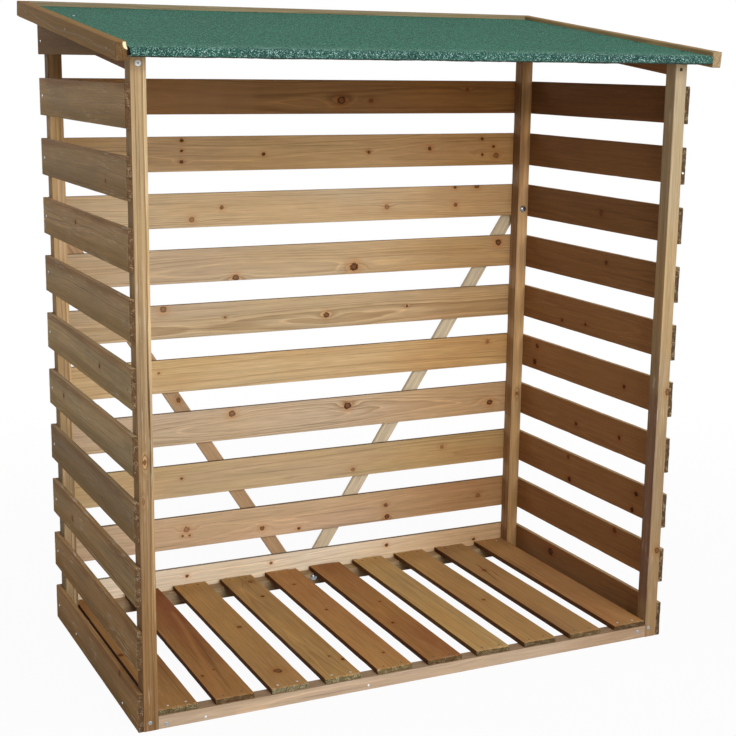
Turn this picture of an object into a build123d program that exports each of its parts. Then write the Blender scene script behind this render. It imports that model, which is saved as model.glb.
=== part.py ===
from build123d import *
import os
from math import cos, radians, sin, tan

# Open-fronted timber log store with a lean-to roof that falls to the front.
# Millimetres, +Z up, +X to the right of someone facing the open front (-Y).
# The origin is on the ground, below the middle of the whole outline.

# ---- driving dimensions ----

frame_width = 1380.0  # over the outer faces of the posts
frame_depth = 740.0  # front face of the front posts to back face of the back posts
front_height = 1471.0  # ground to roof deck, at the front face of the front posts
roof_angle = 6.8  # degrees, rising to the back

post_width = 34.0  # along X
post_depth = 38.0  # along Y
post_edge_radius = 2.0

wall_slat_width = 90.0
wall_slat_thickness = 12.0
wall_slat_rows = 10  # full rows, below the row that the roof line cuts
gable_slat_nose = 6.0  # height of the top row's side slats at their sawn front ends
slat_edge_radius = 1.5

rail_height = 31.0
rail_depth = 38.0
rail_end_clearance = 0.0  # floor rails are driven tight between the posts
batten_edge_radius = 1.5  # rails, rafters and braces

floor_slat_count = 10
floor_slat_width = 93.0
floor_slat_thickness = 12.5
floor_slat_setback = 4.0  # behind the front face of the front rail
floor_slat_end_gap = 3.0  # to the bottom back slat
floor_slat_side_gap = 0.5  # end slats to the posts beside them

rafter_height = 39.0

deck_thickness = 14.0
deck_front_radius = 3.0
deck_board_count = 9  # tongued and grooved boards, laid from side to side
deck_groove_width = 5.0  # V between two boards, on the underside
deck_groove_depth = 2.5
barge_clearance = 10.0  # side slats to the barge boards
felt_thickness = 2.5
felt_drop = 3.0  # below the deck, at the front edge
eaves_overhang = 66.0  # along the slope, front posts to the ends of the barge boards
rear_overhang = 76.0  # along the slope, beyond the back posts
barge_thickness = 25.0
barge_height = 37.0
barge_upstand = 10.0  # above the felt
barge_edge_radius = 2.0

brace_width = 38.0
brace_thickness = 12.0
brace_row = 7  # the rows below the back slat that the upper bolts pass through
brace_bolt_above_edge = 21.5  # upper bolts, above that slat's lower edge
brace_bolt_below_rail = 10.0  # lower bolts, below the top of the back floor rail
brace_bolt_from_middle = 21.0  # lower bolts, from the middle of the back
brace_end = 20.0  # brace past its upper bolt
brace_ground_gap = 2.0
brace_meeting_gap = 1.0

# ---- places that follow from them ----

slope = radians(roof_angle)
half_width = frame_width / 2
barge_top = deck_thickness + felt_thickness + barge_upstand  # above the deck's underside
barge_bottom = barge_top - barge_height
slope_front = -eaves_overhang
slope_back = frame_depth / cos(slope) + rear_overhang

# The whole outline runs from the top of the barge boards' front ends to the foot of
# their back ends, and the origin is halfway between the two.
front_y = ((eaves_overhang - slope_back) * cos(slope) + (barge_top + barge_bottom) * sin(slope)) / 2
back_y = front_y + frame_depth
deck_half_width = half_width + wall_slat_thickness + barge_clearance

row_pitch = (front_height - gable_slat_nose) / wall_slat_rows
row_bottoms = [row * row_pitch for row in range(wall_slat_rows + 1)]
slat_front_to_back = frame_depth + wall_slat_thickness  # side slats cover the back slats' ends

# The underside of the roof deck, facing up the roof's normal.
roof_underside = Plane(origin=(0, front_y, front_height), x_dir=(1, 0, 0), z_dir=(0, -sin(slope), cos(slope)))


def roof_section(x):
    """A sketch plane across X: its x runs up the slope from the front posts' face,
    and its y is the height above the deck's underside."""
    return Plane(origin=(x, front_y, front_height), x_dir=(0, cos(slope), sin(slope)), z_dir=(1, 0, 0))


def long_edges(piece):
    return piece.edges().group_by(SortBy.LENGTH)[-1]


def finish(piece, name):
    piece.part.label = name
    export_step(piece.part, "parts/" + name + ".step")


os.makedirs("parts", exist_ok=True)

# ---- posts ----
# Each post is sawn along the roof line, so that the deck lies flat on it.

sides = {"left": -half_width, "right": half_width - post_width}  # left face of each post
ends = {"front": front_y, "back": back_y - post_depth}  # front face of each post

for end, post_y in ends.items():
    for side, post_x in sides.items():
        with BuildPart() as post:
            with BuildSketch(Plane.XY) as section:
                with Locations((post_x + post_width / 2, post_y + post_depth / 2)):
                    RectangleRounded(post_width, post_depth, post_edge_radius)
            extrude(amount=front_height + frame_depth * tan(slope) + post_depth)
            split(bisect_by=roof_underside, keep=Keep.BOTTOM)
        finish(post, end + "_" + side + "_post")

# ---- rafters ----
# Each fits between its two posts, with plumb ends, and carries the edge of the deck.

rafter_front = Plane.XZ.offset(-(front_y + post_depth))
rafter_back = Plane.XZ.offset(-(back_y - post_depth))

for side, post_x in sides.items():
    with BuildPart() as rafter:
        with BuildSketch(roof_section(post_x)) as section:
            with Locations((frame_depth / 2, -rafter_height / 2)):
                Rectangle(frame_depth, rafter_height)
        extrude(amount=post_width)
        fillet(long_edges(rafter), batten_edge_radius)
        split(bisect_by=rafter_front, keep=Keep.BOTTOM)
        split(bisect_by=rafter_back, keep=Keep.TOP)
    finish(rafter, side + "_rafter")

# ---- floor rails ----

rail_length = frame_width - 2 * post_width - 2 * rail_end_clearance

for end, rail_y in {"front": front_y, "back": back_y - rail_depth}.items():
    with BuildPart() as rail:
        with BuildSketch(Plane.YZ.offset(-rail_length / 2)) as section:
            with Locations((rail_y + rail_depth / 2, rail_height / 2)):
                RectangleRounded(rail_depth, rail_height, batten_edge_radius)
        extrude(amount=rail_length)
    finish(rail, end + "_floor_rail")

# ---- floor slats ----
# Evenly spaced between the posts, resting on both rails.

floor_slat_front = front_y + floor_slat_setback
floor_slat_length = back_y - floor_slat_end_gap - floor_slat_front
floor_first = -half_width + post_width + floor_slat_side_gap + floor_slat_width / 2
floor_pitch = -2 * floor_first / (floor_slat_count - 1)

for number in range(floor_slat_count):
    with BuildPart() as floor_slat:
        with BuildSketch(Plane.XZ.offset(-floor_slat_front)) as section:
            with Locations((floor_first + number * floor_pitch, rail_height + floor_slat_thickness / 2)):
                RectangleRounded(floor_slat_width, floor_slat_thickness, slat_edge_radius)
        extrude(amount=-floor_slat_length)
    finish(floor_slat, f"floor_slat_{number + 1:02d}")

# ---- back slats ----
# Nailed to the back faces of the back posts, numbered from the ground. The top one
# stops at the roof deck.

for number, row_bottom in enumerate(row_bottoms, start=1):
    with BuildPart() as back_slat:
        with BuildSketch(Plane.YZ.offset(-half_width)) as section:
            with Locations((back_y + wall_slat_thickness / 2, row_bottom + wall_slat_width / 2)):
                RectangleRounded(wall_slat_thickness, wall_slat_width, slat_edge_radius)
        extrude(amount=frame_width)
        split(bisect_by=roof_underside, keep=Keep.BOTTOM)
    finish(back_slat, f"back_slat_{number:02d}")

# ---- side slats ----
# On the outer faces of the posts, level with the back slats and flush with the front.
# The top row is sawn along the roof line, down to almost nothing at the front.

slat_middles = {
    "left": -half_width - wall_slat_thickness / 2,
    "right": half_width + wall_slat_thickness / 2,
}

for side, slat_x in slat_middles.items():
    with BuildPart() as side_slats:
        with BuildSketch(Plane.XZ.offset(-front_y)) as section:
            with Locations(*[(slat_x, bottom + wall_slat_width / 2) for bottom in row_bottoms[:-1]]):
                RectangleRounded(wall_slat_thickness, wall_slat_width, slat_edge_radius)
        extrude(amount=-slat_front_to_back)
    finish(side_slats, side + "_side_slats")

    with BuildPart() as gable_slat:
        with BuildSketch(Plane.XZ.offset(-front_y)) as section:
            with Locations((slat_x, row_bottoms[-1] + wall_slat_width / 2)):
                RectangleRounded(wall_slat_thickness, wall_slat_width, slat_edge_radius)
        extrude(amount=-slat_front_to_back)
        split(bisect_by=roof_underside, keep=Keep.BOTTOM)
    finish(gable_slat, side + "_gable_slat")

# ---- back braces ----
# A V on the outside of the back: bolted to the back posts above and to the back floor
# rail below, with the feet sawn level above the ground and plumb where they meet.

brace_foot = (brace_bolt_from_middle, rail_height - brace_bolt_below_rail)
brace_head = (half_width - post_width / 2, row_bottoms[brace_row] + brace_bolt_above_edge)
brace_run = Vector(brace_head[0] - brace_foot[0], 0, brace_head[1] - brace_foot[1])
brace_plane = Plane(
    origin=(brace_foot[0], back_y + wall_slat_thickness, brace_foot[1]),
    x_dir=brace_run,
    z_dir=(0, 1, 0),
)

with BuildPart() as right_brace:
    with BuildSketch(brace_plane) as section:
        with Locations(((brace_run.length + brace_end - brace_width) / 2, 0)):
            Rectangle(brace_run.length + brace_end + brace_width, brace_width)
    extrude(amount=brace_thickness)
    fillet(long_edges(right_brace), batten_edge_radius)
    split(bisect_by=Plane.XY.offset(brace_ground_gap), keep=Keep.TOP)
    split(bisect_by=Plane.YZ.offset(brace_meeting_gap / 2), keep=Keep.TOP)
finish(right_brace, "right_back_brace")

with BuildPart() as left_brace:
    mirror(right_brace.part, about=Plane.YZ)
finish(left_brace, "left_back_brace")

# ---- roof ----

trim_front = slope_back - barge_thickness
deck_front = slope_front + felt_thickness
deck_length = trim_front - deck_front
deck_board_width = deck_length / deck_board_count

# The boards are driven tight, so the deck is one solid, with a V where two boards meet.
with BuildPart() as deck:
    with BuildSketch(roof_section(-deck_half_width)) as section:
        with Locations((deck_front + deck_length / 2, deck_thickness / 2)):
            Rectangle(deck_length, deck_thickness)
        with Locations(*[(deck_front + joint * deck_board_width, 0) for joint in range(1, deck_board_count)]):
            Polygon(
                (-deck_groove_width / 2, 0),
                (deck_groove_width / 2, 0),
                (0, deck_groove_depth),
                align=None,
                mode=Mode.SUBTRACT,
            )
    extrude(amount=2 * deck_half_width)
    fillet(deck.edges().filter_by(Axis.X).group_by(Axis.Y)[0].sort_by(Axis.Z)[-1], deck_front_radius)
finish(deck, "roof_deck")

# The felt lies on the deck, turns down over its front edge and hangs just below it.
with BuildPart() as felt:
    with BuildSketch(roof_section(-deck_half_width)) as section:
        with BuildLine() as deck_line:
            FilletPolyline(
                (trim_front, deck_thickness),
                (deck_front, deck_thickness),
                (deck_front, -felt_drop),
                radius=deck_front_radius,
            )
            offset(amount=felt_thickness, side=Side.RIGHT)
        make_face()
    extrude(amount=2 * deck_half_width)
finish(felt, "roof_felt")

barge_length = slope_back - slope_front

for side, barge_x in {"left": -deck_half_width - barge_thickness, "right": deck_half_width}.items():
    with BuildPart() as barge:
        with BuildSketch(roof_section(barge_x)) as section:
            with Locations(((slope_front + slope_back) / 2, (barge_top + barge_bottom) / 2)):
                Rectangle(barge_length, barge_height)
        extrude(amount=barge_thickness)
        fillet(long_edges(barge), barge_edge_radius)
    finish(barge, side + "_barge_board")

with BuildPart() as trim:
    with BuildSketch(roof_section(-deck_half_width)) as section:
        with Locations(((trim_front + slope_back) / 2, (barge_top + barge_bottom) / 2)):
            Rectangle(barge_thickness, barge_height)
    extrude(amount=2 * deck_half_width)
    fillet(long_edges(trim), barge_edge_radius)
finish(trim, "back_roof_trim")
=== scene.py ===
"""Looks for the log store: sawn softwood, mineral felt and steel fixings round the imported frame."""

import random
from functools import reduce
from math import atan2, ceil, cos, pi, radians, sin

import bpy
from mathutils import Matrix, Vector, noise


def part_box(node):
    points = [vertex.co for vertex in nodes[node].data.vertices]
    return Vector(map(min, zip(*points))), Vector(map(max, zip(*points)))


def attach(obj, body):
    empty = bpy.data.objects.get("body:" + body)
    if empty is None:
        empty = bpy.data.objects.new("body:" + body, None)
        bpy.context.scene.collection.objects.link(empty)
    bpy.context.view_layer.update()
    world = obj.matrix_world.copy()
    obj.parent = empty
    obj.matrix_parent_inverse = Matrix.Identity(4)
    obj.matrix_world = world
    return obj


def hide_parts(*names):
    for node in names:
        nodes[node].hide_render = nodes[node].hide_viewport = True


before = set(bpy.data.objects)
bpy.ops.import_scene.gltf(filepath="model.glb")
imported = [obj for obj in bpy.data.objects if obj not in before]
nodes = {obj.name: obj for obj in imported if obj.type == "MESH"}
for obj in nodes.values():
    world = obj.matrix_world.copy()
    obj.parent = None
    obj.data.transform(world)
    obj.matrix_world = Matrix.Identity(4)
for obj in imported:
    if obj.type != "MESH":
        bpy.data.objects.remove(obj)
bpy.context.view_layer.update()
scene = bpy.context.scene

MM = 0.001
X, Y, Z = Vector((1, 0, 0)), Vector((0, 1, 0)), Vector((0, 0, 1))


def colour(text):
    """A colour written as six hex digits, as the linear values that shaders take."""
    parts = [int(text[i : i + 2], 16) / 255 for i in (0, 2, 4)]
    linear = [p / 12.92 if p <= 0.04045 else ((p + 0.055) / 1.055) ** 2.4 for p in parts]
    return (*linear, 1)


# ---- shader helpers


def chained(operation):
    """A method that joins two or more values, each with the last result."""
    return lambda self, *values: reduce(lambda a, b: self.math(operation, a, b), values)


class Shader:
    """Adds nodes to one tree and wires each as it is made."""

    add, minus, times = chained("ADD"), chained("SUBTRACT"), chained("MULTIPLY")
    over, most = chained("DIVIDE"), chained("MAXIMUM")

    def __init__(self, tree):
        self.tree = tree

    def node(self, kind, **settings):
        made = self.tree.nodes.new("ShaderNode" + kind)
        for name, value in settings.items():
            setattr(made, name, value)
        return made

    def feed(self, socket, value):
        if isinstance(value, bpy.types.NodeSocket):
            self.tree.links.new(value, socket)
        else:
            socket.default_value = value

    def wire(self, made, *values, **named):
        """Feeds a node's inputs in order, or by name with an underscore for a space."""
        for socket, value in zip(made.inputs, values):
            self.feed(socket, value)
        for name, value in named.items():
            self.feed(made.inputs[name.replace("_", " ")], value)
        return made.outputs

    def math(self, operation, *values):
        return self.wire(self.node("Math", operation=operation), *values)[0]

    def rest(self, share):
        return self.minus(1, share)

    def swing(self, value, *sizes):
        """A value round 0.5, made to swing round 0."""
        return self.times(self.minus(value, 0.5), *sizes)

    def vector(self, operation, *values):
        made = self.wire(self.node("VectorMath", operation=operation), *values)
        return made["Value" if operation in ("DOT_PRODUCT", "LENGTH") else "Vector"]

    def dot(self, vector, way):
        return self.vector("DOT_PRODUCT", vector, tuple(way))

    def parts(self, vector):
        return list(self.wire(self.node("SeparateXYZ"), vector))

    def joined(self, x, y, z):
        return self.wire(self.node("CombineXYZ"), x, y, z)[0]

    def mix(self, share, a, b, blend="MIX"):
        made = self.node("Mix", data_type="RGBA", blend_type=blend)
        for socket, value in zip((made.inputs[0], made.inputs[6], made.inputs[7]), (share, a, b)):
            self.feed(socket, value)
        return made.outputs[2]

    def paint(self, share, body, text):
        """A share of the way from a colour to one written as six hex digits."""
        return self.mix(share, body, colour(text))

    def tint(self, share, body, shade):
        """A share of the way from a colour to the same colour multiplied by a shade."""
        shade = colour(shade) if isinstance(shade, str) else shade
        return self.mix(share, body, self.mix(1, body, shade, "MULTIPLY"))

    def dim(self, body, level):
        """A colour multiplied by one number."""
        return self.mix(1, body, self.joined(level, level, level), "MULTIPLY")

    def step(self, value, low, high, start=0, end=1):
        """A smooth change from start to end as value goes from low to high."""
        made = self.node("MapRange", interpolation_type="SMOOTHSTEP")
        return self.wire(made, value, low, high, start, end)[0]

    def fall(self, value, low, high):
        return self.step(value, low, high, 1, 0)

    def between(self, value, outer_low, low, high, outer_high):
        """1 from low to high, and 0 at and past the outer two."""
        return self.times(self.step(value, outer_low, low), self.fall(value, high, outer_high))

    def here(self, kind="Object"):
        """The shaded point in metres, or with "Normal" the way its face looks."""
        return self.node("TexCoord").outputs[kind]

    def noise(self, place, scale=1, detail=2.0, rough=0.5, extra=None):
        """Noise round 0.5, with one scale or one for each axis. extra sets one board's noise apart."""
        if isinstance(scale, tuple):
            place, scale = self.vector("MULTIPLY", place, scale), 1
        if extra is not None:
            place = self.vector("ADD", place, self.joined(0, self.times(extra, 2.3), extra))
        made = self.node("TexNoise", noise_dimensions="3D")
        return self.wire(made, Vector=place, Scale=scale, Detail=detail, Roughness=rough)[0]

    def chance(self, value, offset):
        """A random number for each value."""
        return self.wire(self.node("TexWhiteNoise", noise_dimensions="1D"), W=self.add(value, offset))[0]

    def use(self, tree, **values):
        """The outputs of a node group placed here."""
        return self.wire(self.node("Group", node_tree=tree), **values)

    def surface(self, relief, strength, depth, **sockets):
        """A principled shader with a bump, wired to the material's output."""
        bump = self.wire(self.node("Bump"), Strength=strength, Distance=depth, Height=relief)
        shader = self.wire(self.node("BsdfPrincipled"), Normal=bump["Normal"], **sockets)
        self.wire(self.node("OutputMaterial"), Surface=shader[0])


def stood(name, data):
    """A new object in the scene."""
    made = bpy.data.objects.new(name, data)
    scene.collection.objects.link(made)
    return made


def emptied(made):
    """A material or world with no nodes yet, and its Shader."""
    made.use_nodes = True
    made.node_tree.nodes.clear()
    return made, Shader(made.node_tree)


def new_material(name):
    return emptied(bpy.data.materials.new(name))


def group(name, inputs, outputs):
    """An empty node group, its Shader, its inputs by name, and its end. All but Place are numbers."""
    tree = bpy.data.node_groups.new(name, "ShaderNodeTree")
    for way, sockets in (("INPUT", inputs), ("OUTPUT", outputs)):
        for socket in sockets.split():
            kind = "NodeSocketVector" if socket == "Place" else "NodeSocketFloat"
            tree.interface.new_socket(socket, in_out=way, socket_type=kind)
    start, end = tree.nodes.new("NodeGroupInput"), tree.nodes.new("NodeGroupOutput")
    return tree, Shader(tree), {s.name: s for s in start.outputs if s.name}, end


# ---- timber


def knot_group():
    """A branch through the board: its heart and rim, its push on the rings, and the wood round it."""
    tree, s, given, end = group("knot", "Along Up Ragged At Height Radius", "Knot Rim Push Halo Collar")
    along = s.minus(given["Along"], given["At"])
    up = s.minus(given["Up"], given["Height"])
    round_knot = s.vector("LENGTH", s.joined(s.times(along, 0.88), up, 0))
    distance = s.over(s.times(round_knot, given["Ragged"]), given["Radius"])
    core = s.fall(distance, 0.78, 1.1)
    dark_if_small = s.times(core, s.step(given["Radius"], 0.0035, 0.0065, 0.75, 0))
    long_oval = s.vector("LENGTH", s.joined(s.times(along, 0.24), s.times(up, 0.8), 0))
    spread = s.over(long_oval, given["Radius"])
    s.wire(
        end, Knot=core, Rim=s.most(s.between(distance, 0.55, 0.88, 0.95, 1.3), dark_if_small),
        Push=s.math("EXPONENT", s.times(spread, spread, -0.8)),
        Halo=s.math("EXPONENT", s.times(distance, distance, -0.22)),
        Collar=s.between(distance, 1.05, 1.4, 1.5, 2.3),
    )
    return tree


def timber_group():
    """Growth rings round a pith that wanders beside the board, cut by whichever face is looked at."""
    tree, s, given, end = group(
        "timber", "Place Seed Push Spacing Wander", "Late Crisp Streak Fleck Fibre Tone Patch Glow Line"
    )
    place, seed, spacing = given["Place"], given["Seed"], given["Spacing"]
    along, up, deep = s.parts(place)
    sway = s.noise(s.joined(s.times(along, 1.4), seed, 0.3), 1, 1)
    dive = s.noise(s.joined(s.times(along, 0.9), seed, 7.7), 1, 1)
    side = s.swing(s.chance(seed, 0.37), 0.085)
    depth = s.add(0.02, s.times(s.chance(seed, 1.73), 0.06))
    from_side = s.add(up, side, s.swing(sway, given["Wander"], 0.06))
    from_deep = s.add(deep, depth, s.swing(dive, given["Wander"], 0.05))
    ripple = s.noise(place, (7, 50, 50), 2, extra=seed)
    radius = s.vector("LENGTH", s.joined(from_side, from_deep, 0))
    radius = s.add(radius, s.swing(ripple, 0.0035), s.times(given["Push"], spacing, 1.5))
    uneven = s.noise(s.joined(s.times(radius, 130), seed, 0), 1, 1)
    rings = s.add(s.over(radius, spacing), s.times(uneven, 1.8))
    part = s.math("FRACT", rings)
    weight = s.chance(s.math("FLOOR", rings), 5.1)
    s.wire(
        end, Late=s.times(s.between(part, 0.35, 0.9, 0.92, 1), s.add(0.2, s.times(weight, weight, 0.8))),
        Crisp=s.times(s.between(part, 0.01, 0.05, 0.07, 0.17), s.step(weight, 0.4, 0.7)),
        Streak=s.noise(place, (2.6, 105, 105), 2, extra=seed),
        Fleck=s.noise(place, (16, 280, 280), 2, 0.6, extra=seed),
        Fibre=s.noise(place, (14, 750, 750), 1, extra=seed), Tone=s.chance(seed, 9.1),
        Patch=s.noise(place, (2.6, 13, 13), 3, extra=s.add(seed, 3.3)),
        Glow=s.noise(place, (1.7, 6, 6), 1, extra=s.add(seed, 8.1)),
        Line=s.step(s.noise(place, (1.9, 210, 210), 1, extra=seed), 0.66, 0.74),
    )
    return tree


KNOT, TIMBER = knot_group(), timber_group()


class Grain:
    """How a board lies: where its first end and lower edge are, and which way its length and width run."""

    def __init__(self, along, up, origin=(0, 0, 0), rows=0, length=None):
        self.along, self.up = Vector(along).normalized(), Vector(up).normalized()
        self.deep = self.along.cross(self.up)
        self.origin, self.rows, self.length = Vector(origin), rows, length

    def place(self, s):
        """Metres along the board, up it and through it."""
        moved = s.vector("SUBTRACT", s.here(), self.origin)
        return [s.dot(moved, way) for way in (self.along, self.up, self.deep)]


def wood(
    name, grain, seed, pale, late, contrast=0.5, spacing=0.0044, knots=(), heart="6e4226", lines=(),
    cut="7d6240", cut_ring="33241a", torn=0.4, dull=None, dull_share=0.5, gold=None, bands=None,
    band_way=None, inside=None, inside_colour=None, foot=None, crown=None, fade=None, variety=0.12,
    streaks=0.4, clouds=0.3, hairs=0.25, scuffs=0, nicks=0, edges=None, marks=(), wander=1,
):
    """Sawn softwood. Its knots and lines are in millimetres along and up the board.

    knots: (along, up, radius, darkness). lines: (along, up, along, up, half width, share, colour).
    bands: colours of each board's lower and upper edge, on faces that look band_way.
    inside: the way its sheltered faces look, which inside_colour tints as painted shade on the side away
    from the lamps.
    foot: (height it fades in below, tint), a painted shade near the ground.
    crown: (height it fades in from, height it is whole at, tint), a painted shade under the roof. fade:
    (from, to, tint) along it.
    edges: (colour, share) of its narrow long faces. marks: (centre, radius, colour) of chips and of painted
    shadows.
    wander: how far the pith strays."""
    made, s = new_material(name)
    along, up, deep = grain.place(s)
    across, seed_value = up, float(seed)
    if grain.rows:
        row = s.math("FLOOR", s.over(s.add(up, 0.004), grain.rows))
        across = s.minus(up, s.times(row, grain.rows))
        seed_value = s.add(s.times(row, 3.17), seed)
    place = s.joined(along, across, deep)

    def faces(way, low, high, either=False):
        """1 on the faces that look this way, or with either, this way or the opposite."""
        facing = s.dot(s.here("Normal"), way)
        return s.step(s.math("ABSOLUTE", facing) if either else facing, low, high)

    ragged = s.noise(s.joined(s.times(along, 170), s.times(up, 170), 0), 1, 2)
    ragged = s.add(1, s.swing(ragged, 1.1))
    push, core, rim, halo, collar = 0, 0, 0, 0, 0
    for at, knot_up, radius, darkness in knots:
        lie = dict(At=at * MM, Height=knot_up * MM, Radius=radius * MM)
        found = s.use(KNOT, Along=along, Up=up, Ragged=ragged, **lie)
        push = s.add(push, s.times(found["Push"], min(1.3, radius / 6)))
        collar = s.most(collar, s.times(found["Collar"], darkness))
        core = s.most(core, s.times(found["Knot"], darkness))
        rim = s.most(rim, s.times(found["Rim"], min(1, darkness + 0.2)))
        halo = s.most(halo, s.times(found["Halo"], 0.35 + 0.3 * darkness))

    # The rings, then the tints of whole areas, among them the painted shade of inside, foot and crown.
    grown = s.use(TIMBER, Place=place, Seed=seed_value, Push=push, Spacing=spacing, Wander=wander)
    body = s.mix(s.times(grown["Late"], contrast), colour(pale), colour(late))
    if dull:
        body = s.paint(s.times(s.step(grown["Patch"], 0.43, 0.62), dull_share), body, dull)
    if gold:
        body = s.paint(s.times(s.step(grown["Glow"], 0.42, 0.66), 0.35), body, gold)
    body = s.tint(s.times(grown["Crisp"], 0.8), body, (1.25, 1.21, 1.14, 1))
    if fade:
        body = s.tint(s.step(along, fade[0], fade[1]), body, fade[2])
    if bands:
        from_edge = s.add(across, s.swing(grown["Patch"], 0.05))
        outward = faces(band_way, 0.2, 0.6)
        body = s.tint(s.times(s.fall(from_edge, 0.018, 0.042), outward, 0.55), body, bands[0])
        body = s.tint(s.times(s.step(from_edge, 0.07, 0.086), outward, 0.5), body, bands[1])
    if inside:
        body = s.tint(faces(inside, 0.3, 0.7), body, inside_colour)
    height = s.parts(s.here())[2] if foot or crown else None
    if foot:
        body = s.tint(s.fall(s.add(height, s.swing(grown["Glow"], 0.5)), 0, foot[0]), body, foot[1])
    if crown:
        body = s.tint(s.step(height, crown[0], crown[1]), body, crown[2])

    level = s.add(
        1,
        s.add(
            s.swing(grown["Streak"], streaks), s.swing(grown["Fleck"], 0.4), s.swing(grown["Fibre"], 0.35),
            s.swing(grown["Tone"], variety), s.swing(grown["Patch"], clouds), s.times(grown["Line"], -hairs),
        ),
    )
    body = s.dim(body, level)
    if scuffs:
        scratch = s.step(s.noise(place, (16, 420, 90), 2, extra=seed_value), 0.58, 0.68)
        zone = s.noise(s.joined(along, across, 0), (5, 26, 0), 1, extra=seed_value)
        body = s.paint(s.times(scratch, s.step(zone, 0.5, 0.62), scuffs), body, "cfc0ad")
    if nicks:
        speck = s.step(s.noise(place, 330, 1, extra=seed_value), 0.73, 0.79)
        body = s.paint(s.times(speck, nicks), body, "ead9b8")

    # A knot warms the wood round it, and has a dark rim and a brown heart.
    body = s.tint(halo, body, "dda367")
    body = s.tint(s.times(collar, 0.5), body, (1.3, 1.16, 1, 1))
    body = s.paint(core, body, heart)
    body = s.paint(s.times(rim, 0.85), body, "31190d")
    for *places, share, shade in lines:
        start, start_up, stop, stop_up, half = [v * MM for v in places]
        centre = s.add(start_up, s.times(s.step(along, start, stop), stop_up - start_up))
        centre = s.add(centre, s.swing(grown["Streak"], 0.004))
        close = s.fall(s.math("ABSOLUTE", s.minus(up, centre)), 0, half)
        begun, ended = s.step(along, start - 0.01, start + 0.03), s.step(along, stop - 0.03, stop + 0.01)
        body = s.paint(s.times(close, begun, s.rest(ended), share), body, shade)
    if edges:
        body = s.paint(s.times(faces(grain.up, 0.7, 0.95, True), edges[1]), body, edges[0])

    # Sawn ends are darker and duller, with rings, and tufts of pale torn fibre.
    end_face = faces(grain.along, 0.7, 0.9, True)
    fuzz = s.noise(place, (500, 420, 700), 2)
    tuft = s.noise(place, (60, 70, 90), 1, extra=seed_value)
    sawn = s.mix(s.times(grown["Late"], 0.9), colour(cut), colour(cut_ring))
    sawn = s.paint(s.times(s.fall(fuzz, 0.36, 0.5), 0.6), sawn, cut_ring)
    pale_tuft = s.times(s.step(fuzz, 0.5, 0.64), s.step(tuft, 0.46, 0.62), torn)
    body = s.mix(end_face, body, s.paint(pale_tuft, sawn, "cfbd98"))
    if grain.length:
        from_end = s.math("MINIMUM", along, s.minus(grain.length, along))
        lip = s.times(s.fall(from_end, 0.002, 0.011), s.step(fuzz, 0.5, 0.6), s.step(tuft, 0.45, 0.55))
        body = s.paint(s.times(lip, torn, s.rest(end_face)), body, "d8c69c")
    for spot, size, shade in marks:
        distance = s.vector("LENGTH", s.vector("SUBTRACT", s.here(), tuple(spot)))
        distance = s.add(distance, s.swing(fuzz, 0.004))
        body = s.paint(s.fall(distance, size * 0.82, size), body, shade)

    relief = s.add(
        s.times(grown["Late"], -0.06), s.times(grown["Fibre"], 0.5), s.times(core, 0.4),
        s.times(fuzz, s.times(end_face, 2.4)),
    )
    rough = s.step(grown["Late"], 0, 1, 0.88, 0.72)
    s.surface(relief, 0.7, 0.0005, Base_Color=body, Roughness=rough, Specular_IOR_Level=0.12)
    return made


def dress(node, material):
    """Puts a material in each of a CAD node's slots."""
    for i in range(len(nodes[node].data.materials)):
        nodes[node].data.materials[i] = material


def clad(node, along, up, origin=None, rows=0, **looks):
    """Wood on a CAD node as it is, measured from its box's low corner or another origin."""
    dress(node, wood(node, Grain(along, up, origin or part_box(node)[0], rows), **looks))


# ---- geometry helpers


def piece(name, vertices, faces, material, slot=None, replaced=None, sharp=40):
    """A mesh that rides on the frame, smooth except at its sharp edges."""
    mesh = bpy.data.meshes.new(name)
    mesh.from_pydata([tuple(v) for v in vertices], [], faces)
    mesh.update()
    mesh.shade_smooth()
    mesh.set_sharp_from_angle(angle=radians(sharp))
    mesh.materials.append(material)
    made = stood(name, mesh)
    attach(made, "root")
    if replaced:
        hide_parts(replaced)


LONG_STEP = 30 * MM


def chance(*place):
    """Smooth noise round 0, the same for the same place."""
    return noise.noise(Vector(place))


def stations(length, arris, step, fine=0, fine_to=0):
    """Places along one side of a board: round the arris, then finely up to fine_to, then step by step."""
    start = [0, arris * 0.3, arris]
    while start[-1] < fine_to:
        start.append(start[-1] + fine)
    middle = length - 2 * start[-1]
    count = max(1, ceil(middle / step))
    inner = [start[-1] + middle * i / count for i in range(1, count)]
    return start + inner + [length - v for v in reversed(start)]


def board(origin, ways, size, arris, ends, steps, shape):
    """A sawn board with rounded arrises, finer towards its ends by ends, which is (step, how far in).

    steps are those up and through the board. shape moves each point, in metres from the origin."""
    marks = [stations(size[0], arris, LONG_STEP, *ends)]
    marks += [stations(side, arris, step) for side, step in zip(size[1:], steps)]
    last = [len(m) - 1 for m in marks]
    index, vertices, faces = {}, [], []

    def corner(key):
        if key not in index:
            point = Vector([marks[a][key[a]] for a in range(3)])
            core = Vector([min(max(point[a], arris), size[a] - arris) for a in range(3)])
            out = point - core
            if out.length > 1e-9:
                point = core + out.normalized() * arris
            point = shape(point)
            index[key] = len(vertices)
            vertices.append(origin + ways[0] * point.x + ways[1] * point.y + ways[2] * point.z)
        return index[key]

    flipped = ways[0].cross(ways[1]).dot(ways[2]) < 0
    for axis in range(3):
        u, v = (axis + 1) % 3, (axis + 2) % 3
        for side in (0, last[axis]):
            for i in range(last[u]):
                for j in range(last[v]):
                    quad = []
                    for di, dj in ((0, 0), (0, 1), (1, 1), (1, 0)):
                        key = [0, 0, 0]
                        key[axis], key[u], key[v] = side, i + di, j + dj
                        quad.append(corner(tuple(key)))
                    faces.append(quad if bool(side) == flipped else quad[::-1])
    return vertices, faces


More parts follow.
